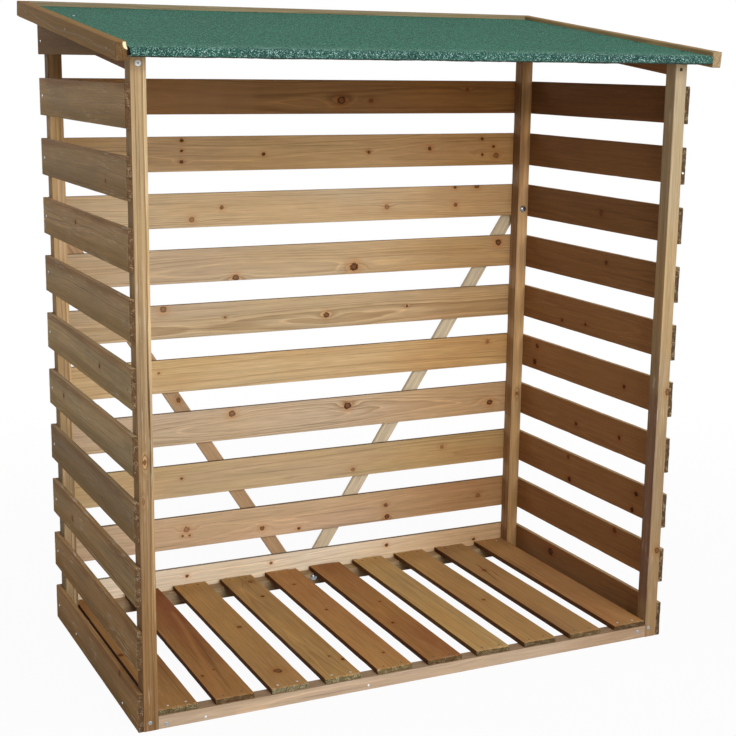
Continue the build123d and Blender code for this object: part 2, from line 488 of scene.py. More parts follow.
def joined(parts):
    """Several closed meshes as one list of points and faces."""
    vertices, faces = [], []
    for points, quads in parts:
        start = len(vertices)
        vertices += points
        faces += [[start + i for i in quad] for quad in quads]
    return vertices, faces


def sawn_shape(size, seed, rough, bow, tear=0):
    """Small faults of a sawn board: uneven arrises, a slight wander, rough ends and torn corners."""
    worn_band, end_band, torn_band = 4 * MM, 20 * MM, 9 * MM
    length, width, thick = size

    def shape(point):
        at = Vector((point.x * 14, point.y * 14, point.z * 14 + seed * 5.3))
        to_arris = min(point.y, width - point.y) + min(point.z, thick - point.z)
        dent = max(0, noise.noise(at * 1.7) - 0.1) * 1.6 * MM * max(0, 1 - to_arris / worn_band)
        out = Vector(point)
        out.y += dent if point.y < width / 2 else -dent
        out.y += bow * chance(point.x * 3, seed * 3.1, 0.5)
        from_end = min(point.x, length - point.x)
        inward = 1 if point.x < length / 2 else -1
        if from_end < end_band:
            share = 1 - from_end / end_band
            out.x += inward * rough * chance(point.y * 190, point.z * 240, seed) * share
            out.x += inward * 1.2 * MM * chance(point.y * 28, seed, 1.5) * share
            if tear:
                ripped = max(0, chance(point.y * 55, seed * 7.7, inward * 2.5) - 0.12)
                top = max(0, (point.z - thick * 0.45) / (thick * 0.55))
                out.z -= tear * ripped * top * max(0, 1 - from_end / torn_band)
                out.x += inward * tear * 0.8 * ripped * top * share**3
        return out

    return shape


def turned(segments, *rings):
    """A lathed form, top to underside. Each ring is (radius, height) in mm, or gives one for an angle."""
    vertices, faces = [], []
    for ring in rings:
        for i in range(segments):
            angle = 2 * pi * i / segments
            radius, height = ring(angle) if callable(ring) else ring
            vertices.append(Vector((radius * cos(angle), radius * sin(angle), height)) * MM)
    top, bottom, base = len(vertices), len(vertices) + 1, len(vertices) - segments
    for r in range(0, base, segments):
        for i in range(segments):
            j = (i + 1) % segments
            faces.append([r + i, r + segments + i, r + segments + j, r + j])
    first, final = vertices[:segments], vertices[-segments:]
    vertices += [sum(first, Vector()) / segments, sum(final, Vector()) / segments]
    for i in range(segments):
        j = (i + 1) % segments
        faces += [top, i, j], [bottom, base + j, base + i]
    return vertices, faces


def fix(name, form, spots, material, tilt=0.05):
    """Copies of a turned form as one piece, at (place, way), each turned and tilted a little by chance."""
    parts = []
    for place, way in spots:
        turn = Matrix.Rotation(chooser.uniform(0, 2 * pi), 3, "Z")
        lean = Matrix.Rotation(chooser.uniform(-tilt, tilt), 3, "X")
        stand = Vector(way).to_track_quat("Z", "Y").to_matrix()
        parts.append(([Vector(place) + stand @ (lean @ (turn @ v)) for v in form[0]], form[1]))
    piece(name, *joined(parts), material)


# ---- where the boards lie


def reach(node, way):
    """How far a node's mesh reaches along a direction: its least and greatest distance."""
    marks = [v.co.dot(way) for v in nodes[node].data.vertices]
    return min(marks), max(marks)


ROWS = 10
SIDES = ("left", -1), ("right", 1)
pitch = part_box("back_slat_02")[0].z
front_top, back_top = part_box("front_left_post")[1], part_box("back_left_post")[1]
slope = atan2(back_top.z - front_top.z, back_top.y - front_top.y)
uphill = Vector((0, cos(slope), sin(slope)))
off_roof = Vector((0, -sin(slope), cos(slope)))
front_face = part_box("front_left_post")[0].y
chooser = random.Random(7)

# ---- back wall

# Knots, by row from the ground: from the left end, up the board, radius, darkness.
BACK_KNOTS = {
    1: [(347, 65, 4, 0.7), (595, 67, 4, 0.6), (959, 71, 4.5, 0.8), (1252, 50, 4, 0.7)],
    2: [
        (347, 52, 7, 0.35), (356, 34, 3, 0.5), (336, 35, 3, 0.5), (569, 27, 5.5, 0.65), (680, 12, 4, 0.7),
        (954, 47, 5, 0.6), (959, 12, 6, 0.85), (1263, 40, 6, 0.35),
    ],
    3: [(336, 52, 3, 0.6), (848, 20, 5, 0.35), (1136, 57, 5, 0.3)],
    4: [(482, 73, 7.5, 0.6), (829, 64, 8.5, 0.85), (1294, 32, 7, 0.85)],
    5: [(277, 56, 3, 0.4), (1280, 70, 5, 0.3)],
    6: [(292, 80, 7, 0.5), (761, 36, 6.5, 0.8), (464, 48, 3, 0.4), (1012, 46, 3, 0.8)],
    7: [(495, 8, 7, 0.65), (844, 20, 9.5, 0.9), (1307, 69, 7.5, 0.85)],
    8: [
        (374, 21, 6, 0.45), (457, 50, 4.5, 0.5), (944, 37, 6, 0.4), (1162, 36, 5, 0.6), (1159, 86, 4, 0.65),
        (1230, 88, 6, 0.8),
    ],
    9: [
        (349, 80, 4, 0.8), (349, 54, 3, 0.8), (348, 25, 4, 0.65), (576, 42, 4, 0.8), (886, 42, 4, 0.65),
        (1075, 50, 4.5, 0.9), (1243, 75, 3.5, 0.8), (1281, 53, 3.5, 0.8), (1290, 27, 6.5, 0.5),
        (1245, 30, 3, 0.8),
    ],
    10: [(802, 36, 9, 0.85), (891, 35, 5, 0.4), (1190, 66, 4, 0.4)], 11: [(400, 50, 7, 0.5)],
}
# Each back slat's pale wood, the wood of its rings, and its duller and warmer patches. The two top rows are
# dark brown: painted shade under the roof.
BACK_SHADES = {
    1: "ecdcc2 c4a482 dac6ac e2c8a0", 2: "d0b696 9c7c58 c0a28a cda778", 3: "c9b288 90704e ba9d7e c4a169",
    4: "d2ba9c 987a58 c2aa90 cfb07e", 5: "d2b68a a8845a bc9a70 cda86c", 6: "cab494 927452 b69c80 c6a674",
    7: "c4ad8e 947650 b0987b c1a271", 8: "ccb492 907250 b89c7a c5a470", 9: "be9f76 856441 a88965 b69159",
    10: "8e6a42 583a20 7a5838 926836", 11: "8e6a42 583a20 7a5838 926836",
}
# A paler area near the left end of row 10, as two broad lines, where its painted shade is lighter.
BACK_PALE = {10: [(0, 45, 560, 45, 80, 0.28, "a07a56"), (0, 45, 470, 45, 80, 0.25, "a07a56")]}
# Each row darkens towards its right end, the three lowest more than the rest: painted shadow of the right
# wall.
BACK_FADES = {1: "e6d2bc", 2: "dcc6ac", 3: "ecdac2"}
for row, tones in BACK_SHADES.items():
    pale, late, dull, gold = tones.split()
    node = f"back_slat_{row:02d}"
    clad(
        node, X, Z, seed=4.7 * row + 1.3, pale=pale, late=late, contrast=0.4 if row == 1 else 0.66,
        spacing=0.0048, knots=BACK_KNOTS[row], lines=BACK_PALE.get(row, ()), dull=dull, dull_share=0.6,
        gold=gold, fade=(0.7, 1.25, BACK_FADES.get(row, "f6e4ca")), edges=("3c3022", 0.75), clouds=0.42,
    )

# ---- side walls

# Knots: row from the ground, back from the front edge, up the board, radius, darkness.
SIDE_KNOTS = {
    "left": [
        (5, 250, 47, 4.5, 0.8), (7, 430, 60, 5, 0.5), (2, 550, 40, 6, 0.5), (8, 160, 30, 4, 0.4),
        (4, 600, 50, 5, 0.6), (0, 146, 82, 6, 0.5),
    ],
    "right": [
        (6, 299, 63, 5, 0.6), (7, 333, 46, 7, 0.3), (5, 500, 21, 4, 0.55), (5, 384, 28, 4, 0.55),
        (4, 624, 70, 6, 0.7), (4, 635, 22, 7, 0.75), (4, 192, 40, 5, 0.75), (3, 409, 35, 4.5, 0.65),
        (3, 202, 44, 5, 0.8), (2, 430, 14, 6, 0.9), (2, 440, 77, 4.5, 0.4), (2, 115, 59, 6, 0.95),
        (2, 129, 12, 6, 0.95), (1, 202, 78, 6.5, 0.5), (0, 511, 66, 9.5, 0.7),
    ],
}
# inside_colour tints the faces that look into the store: painted shade, warmed as by light bounced off the
# wood. The crowns darken the top rows, the right one most, and the left foot the lowest rows: painted shade
# under the roof and near the ground.
SIDE_WOOD = {
    "left": dict(
        seed=64.5, pale="b69a70", late="7e6040", dull="8e7a5c", inside_colour="d9a984", scuffs=0.55,
        contrast=0.6, dull_share=0.6, foot=(0.75, "e2cdb4"), crown=(0.7, 1.1, "fdf4ee"), variety=0.24,
        cut="6a4e34", torn=0.5,
    ),
    "right": dict(
        seed=185.6, pale="c6a67c", late="967250", dull="a88e6c", inside_colour="c1a68d", scuffs=0.05,
        contrast=0.4, dull_share=0.35, crown=(1, 1.4, "c9c2be"), variety=0.3, clouds=0.5, cut="5c4832",
        torn=0.8,
    ),
}
# A darker slat on each side, and long pale scuffs on the left.
SIDE_LINES = {
    "left": [
        (-40, 3 * pitch / MM + 45, 800, 3 * pitch / MM + 45, 80, 0.38, "584233"),
        (60, 161.5, 170, 166.5, 3.5, 0.45, "cdbfa8"), (200, 301, 410, 303, 3, 0.4, "c4b59c"),
        (380, 332, 540, 340, 3, 0.35, "c4b59c"),
    ],
    "right": [(-40, 7 * pitch / MM + 45, 800, 7 * pitch / MM + 45, 80, 0.14, "452a12")],
}
slat_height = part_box("back_slat_01")[1].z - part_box("back_slat_01")[0].z
for side, outward in SIDES:
    node = f"{side}_side_slats"
    low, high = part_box(node)
    size = (high.y - low.y, slat_height, high.x - low.x)
    made = wood(
        node, Grain(Y, Z, (low.x, low.y, 0), rows=pitch, length=size[0]),
        knots=[(back, row * pitch / MM + up, *rest) for row, back, up, *rest in SIDE_KNOTS[side]],
        lines=SIDE_LINES[side], heart="3c2413", bands=("c8bc90", "cfa27c"), band_way=X * outward,
        inside=X * -outward, nicks=0.3, **SIDE_WOOD[side],
    )
    boards = []
    for row in range(ROWS):
        origin = Vector((low.x if outward > 0 else high.x, low.y, row * pitch))
        shape = sawn_shape(size, row * 1.9 + outward, rough=0.9 * MM, bow=0.5 * MM)
        ends, steps = (2.5 * MM, 12 * MM), (5 * MM, 3 * MM)
        boards.append(board(origin, (Y, Z, X * outward), size, 1.5 * MM, ends, steps, shape))
    piece(f"{side}_side_boards", *joined(boards), made, "side_wood", node)
    # The gable slats' dark brown, and inside_colour on their inner faces, are painted shade under the barge
    # boards and roof.
    clad(
        f"{side}_gable_slat", Y, Z, (low.x, low.y, ROWS * pitch), seed=6.6 if side == "left" else 3.9,
        pale="704f24", late="4d3213", contrast=0.45, dull="5d4222", inside=X * -outward,
        inside_colour="d9ac84",
    )

# ---- posts, rails and rafters

# Each post's wood. Its inside is its left face, darkened by inside_colour, and on three posts by a dark line
# at -3 mm across that also takes in the arris: painted shade on the side away from the lamps. foot darkens
# each post's lowest part and crown the tops of the back posts: painted shade near the ground and under the
# roof. Its knots and lines are given up it and across it.
POST_WOOD = {
    "front_left": dict(
        seed=1.2, pale="e4cca2", late="64462a", dull="a68b64", inside_colour="dccfc0", foot=(1.6, "bca898"),
        knots=[(617, 14, 4.2, 0.5), (530, 10, 3, 0.2)], contrast=1.0, streaks=0.9, hairs=0.6, nicks=0.6,
        # A dark ring round the top-left screw: a painted shadow of its head.
        marks=[((-0.673, front_face, 1.449), 7.8 * MM, "4a3a2a")],
        lines=[
            (0, 8, 1460, 8.5, 1.8, 0.5, "6b5032"), (0, 27, 1460, 26, 1.5, 0.5, "75583a"),
            (0, 17.5, 1100, 18.5, 1.4, 0.15, "d8c19a"),
        ],
    ),
    "front_right": dict(
        seed=5.8, pale="b1a083", late="80684c", dull="a08e70", inside_colour="ece7e1", foot=(1.5, "dccab8"),
        knots=[(652, 30, 6.5, 0.55), (234, 24, 6, 0.6)],
        lines=[(90, -3, 660, -3, 6, 0.9, "6e4642"), (400, 18, 560, 22, 30, 0.35, "8c7254")],
        contrast=0.45, streaks=0.5, nicks=0.2,
    ),
    "back_left": dict(
        seed=3.4, pale="dfbc8d", late="86643a", dull="a0845c", inside_colour="dcd0c6", foot=(0.75, "dfe6ee"),
        crown=(1.3, 1.43, "b0a498"), knots=[(900, 20, 5, 0.5)],
        lines=[(-30, -3, 480, -3, 6, 0.9, "5e5b51"), (950, 22, 1220, 22, 20, 0.4, "e6c8a4")],
        contrast=0.8, streaks=0.8, nicks=0.2,
    ),
    "back_right": dict(
        seed=9.7, pale="cda77b", late="826440", dull="a7865e", inside_colour="e3e0e3", foot=(0.5, "f0e8dc"),
        crown=(0.95, 1.3, "d5cabd"), knots=[(500, 18, 4.5, 0.4)],
        lines=[(1000, -3, 1500, -3, 6, 0.45, "5a3c26")], contrast=0.8, streaks=0.8, nicks=0.2,
    ),
}
for post, looks in POST_WOOD.items():
    node = f"{post}_post"
    clad(
        node, Z, X, spacing=0.0075, dull_share=0.6, gold="bf985c", inside=-X, scuffs=0.4, wander=0.35,
        **looks,
    )

RAIL_WOOD = {
    "front": dict(
        seed=7.3, pale="bda78f", late="947a60", dull="b59c85", gold="bfa080", fade=(1, 1.25, "e6ded6"),
        edges=("7a5c3a", 0.45),
    ),
    "back": dict(seed=2.8, pale="a88f6e", late="7a6042", dull="a38b6e", gold="ae906a"),
}
for end, looks in RAIL_WOOD.items():
    node = f"{end}_floor_rail"
    clad(node, X, Z, scuffs=0.5, nicks=0.4, **looks)

for side, seed in (("left", 2.2), ("right", 8.8)):
    node = f"{side}_rafter"
    clad(node, uphill, off_roof, seed=seed, pale="805938", late="543822", contrast=0.4)

# ---- floor

# Knots, by slat from the left: back from its front end, from its left edge, radius, darkness.
FLOOR_KNOTS = {
    1: [(300, 40, 4, 0.5), (330, 8, 6, 0.6)], 2: [(136, 15, 3, 0.8), (160, 51, 2, 0.7)],
    3: [(383, 64, 5.5, 0.5), (92, 52, 9, 0.5)],
    4: [(561, 61, 4.5, 0.8), (678, 70, 6, 0.3), (92, 86, 4, 0.9), (122, 63, 3, 0.6)],
    5: [(403, 44, 3, 0.8), (89, 58, 3, 0.7), (611, 38, 4, 0.4)], 6: [(252, 29, 4, 0.6), (400, 64, 3, 0.5)],
    8: [(300, 56, 5, 0.4)], 9: [(500, 37, 6, 0.5)],
}
# Cracks and warm streaks, by slat.
FLOOR_CRACKS = {
    2: [(20, 28, 560, 73, 11, 0.5, "b8844f"), (30, 50, 400, 75, 6, 0.35, "5c3820")],
    9: [(400, 30, 560, 42, 2.2, 0.9, "2c1a0e"), (430, 50, 500, 56, 1.8, 0.8, "2c1a0e")],
    4: [(620, 30, 700, 50, 1.4, 0.6, "4a2c17")],
}
# Each floor slat's pale wood, its reddest patches, its sawn ends and how torn they are.
FLOOR_SHADES = [
    ("a87c4a", "825836", "6e6040", 0.8), ("97643b", "784328", "62482c", 0.4),
    ("b88e5a", "a57a46", "8a8060", 0.7), ("b8925d", "9e7643", "7e7450", 1.0),
    ("ba8854", "9c683f", "7a6844", 0.9), ("a67445", "8c5633", "6a5032", 0.5),
    ("c2a06a", "a9804f", "6a5636", 0.5), ("ba915d", "9d7043", "5e4a30", 0.4),
    ("a98259", "8f6742", "6a5434", 0.5), ("b38757", "9a6b3f", "5c462c", 0.4),
]
for k, (pale, red, sawn, torn) in enumerate(FLOOR_SHADES, 1):
    node = f"floor_slat_{k:02d}"
    low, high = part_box(node)
    size = (high.y - low.y, high.x - low.x, high.z - low.z)
    # inside_colour darkens each slat's left side: painted shade in the gaps between the slats.
    made = wood(
        node, Grain(Y, X, low, length=size[0]), seed=3.3 * k + 0.9, pale=pale, late="7c4e2a", contrast=0.32,
        spacing=0.0052, knots=FLOOR_KNOTS.get(k, ()), heart="4a2814", lines=FLOOR_CRACKS.get(k, ()),
        cut=sawn, cut_ring="3a2c1c", torn=torn, dull=red, dull_share=0.6, gold="c39a5a", inside=-X,
        inside_colour="8c7560", streaks=0.25, clouds=0.65, scuffs=0.12,
    )
    shape = sawn_shape(size, k * 2.3, rough=1.3 * MM, bow=0.5 * MM, tear=3.2 * MM)
    form = board(low, (Y, X, Z), size, 1 * MM, (2 * MM, 12 * MM), (3 * MM, 2 * MM), shape)
    piece(f"floor_board_{k:02d}", *form, made, "floor_wood", node)


# ---- braces and roof edge

BRACE_END = 30 * MM
BRACE_WOOD = {
    "left": dict(seed=4.1, pale="ba9975", late="906f47", dull="9c8364", knots=[(663, 2, 5.5, 0.6)]),
    "right": dict(seed=6.2, pale="cfbea1", late="9f8b70", dull="c3b196"),
}
for side, looks in BRACE_WOOD.items():
    node = f"{side}_back_brace"
    low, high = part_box(node)
    lean = Vector((high.x - low.x - BRACE_END, 0, high.z - low.z - BRACE_END))
    if side == "left":
        lean.x = -lean.x
    clad(node, lean, (lean.z, 0, -lean.x), (0, low.y, low.z), contrast=0.45, **looks)

ROOF_EDGE = {
    "left": dict(seed=5.5, pale="916e3c", late="5c4024", cut="6f5232", torn=0.2, dull="785a38"),
    "right": dict(seed=7.9, pale="a88c62", late="765a38", cut="ae9470", torn=0.6, dull="8c7450"),
}
for side, looks in ROOF_EDGE.items():
    node = f"{side}_barge_board"
    low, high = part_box(node)
    (from_s, to_s), (from_n, to_n) = reach(node, uphill), reach(node, off_roof)
    origin = uphill * from_s + off_roof * from_n + X * low.x
    size = (to_s - from_s, to_n - from_n, high.x - low.x)
    chipped = origin + off_roof * size[1] * 0.88 + X * size[2]
    # The dark patch by the felt's front corner, used on the left board only, is a painted shadow in the gap
    # between board and felt.
    darkened = origin + uphill * 6 * MM + off_roof * size[1] * 0.42 + X * (size[2] + 10 * MM)
    made = wood(
        node, Grain(uphill, off_roof, origin, length=size[0]), contrast=0.45, cut_ring="4c361f",
        gold="8f6a3a",
        marks=[(darkened, 16 * MM, "1c1612"), (chipped, 12 * MM, "f0dfb4")] if side == "left" else [],
        **looks,
    )
    rough = sawn_shape(size, looks["seed"], rough=0.5 * MM, bow=0.8 * MM)

    def shape(point, size=size, rough=rough, chip=side == "left"):
        """The left board has lost a splinter from the inner upper corner of its front end."""
        out = rough(point)
        if chip:
            gap = Vector((point.x, (point.y - size[1]) * 0.8, (point.z - size[2]) * 1.3)).length
            out -= Vector((-3.0, 2.4, 4.2)) * MM * max(0, 1 - gap / (14 * MM)) ** 1.2
        return out

    form = board(origin, (uphill, off_roof, X), size, 2 * MM, (2.5 * MM, 22 * MM), (3 * MM, 3 * MM), shape)
    piece(f"{side}_barge", *form, made, "roof_edge_wood", node)

clad("back_roof_trim", X, off_roof, seed=1.9, pale="94866a", late="6c5a3e", contrast=0.6, gold="9a8054")
DECK_BOARDS = 9
deck_low, deck_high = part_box("roof_deck")
clad(
    "roof_deck", X, uphill, rows=(deck_high.y - deck_low.y) / cos(slope) / DECK_BOARDS, seed=3.0,
    pale="c0a072", late="8b6940",
    knots=[(300, 200, 7, 0.7), (900, 330, 9, 0.7), (1200, 600, 6, 0.7), (500, 750, 8, 0.6)], dull="ac8c62",
    # A dark spot at the front left corner: painted shadow in the gap beside the felt.
    variety=0.2, marks=[(deck_low + Z * 8 * MM, 22 * MM, "1c1612")],
)

# ---- felt


def felt_material():
    """Mineral felt: green grit with pale and sooty flakes, dirtier and coarser on the fold at the front."""
    made, s = new_material("roof_felt")
    place = s.here()
    grit, flakes = [
        s.wire(s.node("TexVoronoi", feature="F1", voronoi_dimensions="3D"), Vector=place, Scale=scale)
        for scale in (700.0, 540.0)
    ]
    kind, shade, glint = s.parts(grit["Color"])
    sparkle, chalk, soot = s.parts(flakes["Color"])
    mottled, clumps = s.noise(place, 60, 3, 0.6), s.noise(place, 210, 2, 0.6)

    facing = s.dot(s.here("Normal"), -Y)
    fold = s.step(facing, 0.15, 0.7)
    flat = s.rest(fold)
    front = reach("roof_felt", uphill)[0]
    near_fold = s.step(s.dot(place, uphill), front, front + 90 * MM, 0.9, 0)

    sooty = s.step(s.noise(place, (3, 0, 0), 1), 0.4, 0.62, 0.35, 0.7)
    body = s.mix(shade, colour("164436"), colour("458e72"))
    body = s.paint(s.times(fold, sooty), body, "16383a")
    whites = s.most(
        s.times(s.step(chalk, 0.87, 0.89), fold, 0.8), s.times(s.step(chalk, 0.84, 0.88), near_fold),
        s.times(s.step(kind, 0.78, 0.81), s.step(fold, 0, 1, 0.2, 0.35)),
    )
    body = s.paint(whites, body, "acd4ca")
    darks = s.most(s.times(s.step(glint, 0.76, 0.79), 0.35), s.times(s.step(soot, 0.72, 0.77), fold, 0.65))
    body = s.paint(darks, body, "122a30")
    # A pale streak along the part of the fold that starts to turn down, broken up by noise.
    crease_streak = s.step(s.noise(place, (9, 0, 0), 1), 0.54, 0.62)
    crease_streak = s.times(s.between(facing, 0.2, 0.3, 0.42, 0.5), crease_streak)
    body = s.paint(s.times(crease_streak, s.step(kind, 0.3, 0.4)), body, "a5cdbd")
    level = s.add(
        1, s.swing(s.noise(place, 5, 4), 0.2), s.swing(mottled, 0.45),
        s.swing(clumps, s.step(fold, 0, 1, 2.0, 0.3)), s.times(s.step(sparkle, 0.78, 0.86, 0, 0.75), flat),
        s.times(s.step(sparkle, 0.08, 0.2, -0.45, 0), flat), -0.2,
    )
    body = s.dim(body, level)
    foot = reach("roof_felt", off_roof)[0]
    above_foot = s.minus(s.dot(place, off_roof), foot)
    cut_edge = s.times(s.step(above_foot, 1.5 * MM, 4 * MM, 0.9, 0), fold)
    body = s.paint(cut_edge, body, "2a261c")
    relief = s.add(grit["Distance"], s.times(clumps, 0.8))
    s.surface(relief, 0.8, 0.0008, Base_Color=body, Roughness=0.9, Specular_IOR_Level=0.2)
    return made


def felt_sheet():
    """The felt as one sheet folded over the deck's front edge, with slight waves and an uneven cut edge."""
    thick, bend = 2.5 * MM, 7 * MM
    on_flat, on_bend, on_drop, across = 66, 8, 4, 144
    low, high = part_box("roof_felt")
    front, back = reach("roof_felt", uphill)
    foot, top = reach("roof_felt", off_roof)
    flat, drop = back - front - bend, top - bend - foot
    # Its section, from the back to the cut edge: along the slope, off the roof, and how far it has turned.
    line = [(back - flat * i / on_flat, top, 0) for i in range(on_flat + 1)]
    for i in range(1, on_bend + 1):
        angle = pi / 2 * i / on_bend
        line.append((front + bend - bend * sin(angle), top - bend + bend * cos(angle), angle))
    line += [(front, top - bend - drop * i / on_drop, pi / 2) for i in range(1, on_drop + 1)]

    vertices = []
    for depth in (0, thick):
        for i in range(across + 1):
            share = i / across
            for s_mark, n_mark, angle in line:
                x = low.x + (high.x - low.x) * share
                down = (back - s_mark + top - n_mark) / (back - front)
                at = Vector((x * 3.2, down * 2.6, 0.4))
                lift = max((noise.noise(at) + 0.5 * noise.noise(at * 3.1)) * 1.1 * MM, 0)
                lift *= min(1, (back - s_mark) / (60 * MM) + 0.15)
                lip = max(0, down - 0.97) / 0.05
                lift += max(0, chance(x * 21, 3.0, 1)) * 1.2 * MM * min(1, lip)
                corner = max(0, 1 - share * (high.x - low.x) / (45 * MM)) * min(1, lip)
                lift += corner * 2.0 * MM
                out_s = s_mark - sin(angle) * (lift - depth)
                out_n = n_mark + cos(angle) * (lift - depth)
                ragged = (0.9 * chance(x * 60, 8, 0) + 1.2 * chance(x * 9, 8, 0)) * MM
                out_n += ragged * max(0, min(1, (down - 0.985) / 0.03))
                edge = max(0, chance(down * 30, share * 2, 5.0) + 0.6)
                pull = (0.5 + edge + corner * (4.5 + 4 * chance(down * 160, 1, 2))) * MM
                if i in (0, across):
                    x += pull if i == 0 else pull * -0.6
                vertices.append(X * x + uphill * out_s + off_roof * out_n)
    rows, under, faces = len(line), len(vertices) // 2, []
    for a in range(0, across * rows, rows):
        for j in range(a, a + rows - 1):
            faces.append([j, j + 1, j + rows + 1, j + rows])
            faces.append([under + v for v in (j, j + rows, j + rows + 1, j + 1)])
        for j in (a, a + rows - 1):
            quad = [j, j + rows, under + j + rows, under + j]
            faces.append(quad if j == a else quad[::-1])
    for a in (0, across * rows):
        for j in range(a, a + rows - 1):
            quad = [j, under + j, under + j + 1, j + 1]
            faces.append(quad if a == 0 else quad[::-1])
    return vertices, faces


felt = felt_material()
dress("roof_felt", felt)
piece("roof_felt_sheet", *felt_sheet(), felt, "roof_felt", "roof_felt", sharp=60)


# ---- nails, screws and bolts


def steel(name, tint, roughness, dirt, metallic=0.65):
    """Zinc plate: a grey metal with a cloudy bloom."""
    made, s = new_material(name)
    bloom = s.noise(s.here(), 420, 3, 0.6)
    stain = s.step(s.noise(s.here(), 900, 2), 0.5, 0.66)
    body = s.tint(s.step(bloom, 0.3, 0.7), colour(tint), "c4ccd2")
    body = s.paint(s.times(stain, dirt), body, "4a3c30")
    rough = s.step(bloom, 0.3, 0.7, roughness, roughness + 0.15)
    s.surface(bloom, 0.4, 0.0001, Base_Color=body, Metallic=metallic, Roughness=rough)
    return made


def crossed(radius, height, deep):
    """A ring of a screw head where the four arms of its driving recess cut down into it."""
    return lambda angle: (radius, height - deep * max(0, cos(4 * angle)) ** 2)


def six_sided(flat, height):
    """A ring of a nut, at half its width across the flats."""
    return lambda angle: (flat / cos((angle % (pi / 3)) - pi / 6), height)


bright = steel("zinc_plate", "eef2f6", 0.42, 0.1)
plated = steel("plated_screw", "a8b0b6", 0.4, 0.3)
pale_zinc = steel("pale_zinc", "f4f6f8", 0.5, 0.05, metallic=0.2)
weathered = steel("weathered_zinc", "7c6e5c", 0.55, 0.6)
# Near-black steel for the right top screw and the felt nails, and for a plug that paints the shade in the
# top-left screw's recess.
dark_steel = steel("near_black_steel", "3a3632", 0.6, 0.6)
polished = steel("bolt_steel", "a6a8ac", 0.22, 0.15, metallic=0.9)
NAIL = turned(14, (1, 0.7), (2, 0.62), (2.7, 0.4), (3, -0.1), (1.8, -1.5))
CLOUT = turned(16, (1, 0.8), (2.6, 0.7), (3.3, 0.4), (3.4, 0), (2, -1))
SCREW = turned(
    24, crossed(0.5, 0.6, 1.6), crossed(1.2, 0.7, 1.5), crossed(2.1, 0.8, 1.2), (2.7, 0.9), (3.7, 0.6),
    (4.5, 0.1), (4.6, -1),
)
FLANGED = turned(
    24, crossed(0.4, 0.2, 1), crossed(1, 0.6, 1), crossed(1.7, 1.4, 0.8), (2.4, 2.2), (4, 2), (5, 1.3),
    (6.4, 0.9), (6.8, 0.4), (6.8, -0.6),
)
SOCKET = turned(16, (0.5, 1.1), (1, 1.1), (1.5, 1), (1.6, -0.5))
BOLT = turned(24, (1, 5.2), (4.2, 4.7), (7.4, 3.4), (9.3, 1.6), (10, 0.4), (10, -0.6))
NUT = turned(
    24, (0.6, 8.8), (2.4, 8.8), (3, 8.2), (3, 6.8), (4.4, 6.8), six_sided(5, 6.1), six_sided(5, 2.4),
    (4.8, 1.7), (8.6, 1.7), (9, 1.3), (9, -0.4),
)


def near(value, spread=3 * MM):
    """A place that is a little off, by chance."""
    return value + chooser.uniform(-spread, spread)


# Two nails to each side slat, and two more at the foot.
back_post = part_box("back_left_post")
nail_front, nail_back = 21 * MM, (back_post[0].y + back_post[1].y) / 2
for side, outward in SIDES:
    low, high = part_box(f"{side}_side_slats")
    face = high.x if outward > 0 else low.x
    clean, darkened = [], []
    for row in range(ROWS + 1):
        for along, spots in ((low.y + nail_front, darkened), (nail_back, clean)):
            height = row * pitch + (47 * MM if row < ROWS else 30 * MM)
            spots.append(((face, near(along), near(height, 6 * MM)), X * outward))
    for along, height in ((-0.248, 0.018), (0.173, 0.027)):
        clean.append(((face, along, height), X * outward))
    fix(f"{side}_side_nails", NAIL, clean, bright)
    fix(f"{side}_front_nails", NAIL, darkened, weathered)

# The last floor slat's nails are bright, and so are those at the front ends of three others.
spots = {"outer": [], "inner": []}
for k in range(1, len(FLOOR_SHADES) + 1):
    low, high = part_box(f"floor_slat_{k:02d}")
    centre = (low.x + high.x) / 2
    for along in (low.y + 17 * MM, high.y - 19 * MM):
        for across in (-22 * MM, 22 * MM):
            place = (near(centre + across), near(along), high.z - 0.1 * MM)
            fresh = k == 10 or (k in (1, 3, 4) and along < 0)
            spots["outer" if fresh else "inner"].append((place, Z))
fix("outer_floor_nails", NAIL, spots["outer"], bright)
fix("inner_floor_nails", NAIL, spots["inner"], weathered)

# Back nails, but none where the bolts are, and none that would stand above a sloping top.
spots = []
post_middle = (back_post[1].x + back_post[0].x) / 2
for row in BACK_SHADES:
    low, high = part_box(f"back_slat_{row:02d}")
    for side in (1, -1):
        for up in (25 * MM, 65 * MM):
            if row != 8 and low.z + up < high.z - 8 * MM:
                spots.append(((near(side * post_middle), high.y, near(low.z + up, 4 * MM)), Y))
fix("back_nails", NAIL, spots, bright)

rail_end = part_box("front_floor_rail")[1].x


def on_front(*places):
    """Spots on the front of the frame, in metres across and up."""
    return [((x, front_face, z), -Y) for x, z in places]


feet = on_front((-0.675, 0.019), (rail_end * -0.972, 0.010), (rail_end * 0.966, 0.018), (0.667, 0.024))
fix("frame_screws", SCREW, feet, plated)
fix("left_top_screw", FLANGED, on_front((-0.673, 1.449)), pale_zinc)
# A dark plug in the flanged screw's centre: painted shade in its recess.
fix("left_top_recess_shade", SOCKET, on_front((-0.673, 1.449)), dark_steel)
fix("right_top_screw", SCREW, on_front((0.672, 1.448)), dark_steel)
fix("right_end_nail", NAIL, on_front((0.6945, 1.2)), bright)
fix("rail_nails", NAIL, on_front((-0.546, 0.009), (-0.14, 0.011)), bright)

